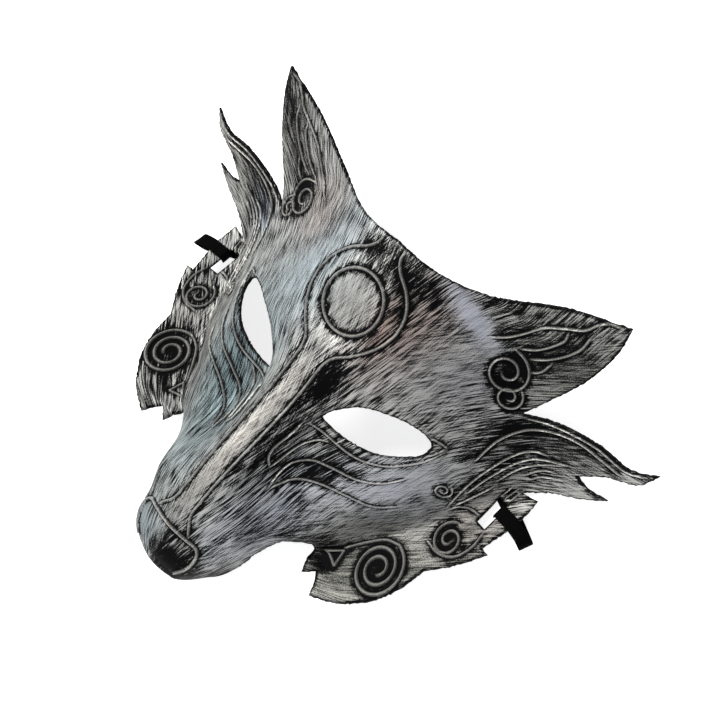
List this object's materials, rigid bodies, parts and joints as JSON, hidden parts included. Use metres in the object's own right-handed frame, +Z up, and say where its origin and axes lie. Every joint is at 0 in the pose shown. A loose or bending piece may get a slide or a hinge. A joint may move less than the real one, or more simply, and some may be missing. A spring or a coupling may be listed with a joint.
{
  "type": "wolf mask",
  "caption": "Half-face wolf mask: a thin moulded shell with ears, eye holes, cheek panels and raised scrollwork, with a flat elastic head strap.",
  "frame": {"origin": "centre of the bounding box's bottom, on the floor under the mask", "axes": "+X across the mask to the wearer's left, the mirror plane is X = 0; +Y from the nose to the ears; +Z up, out of the face as it lies face up"},
  "size_m": [0.2482, 0.1892, 0.0652],
  "materials": {
    "antique_silver": "black plastic dry-brushed with antique silver paint",
    "black_elastic": "flat woven elastic"
  },
  "bodies": {
    "root": {"mask_shell": "antique_silver", "head_strap": "black_elastic"}
  },
  "joints": []
}
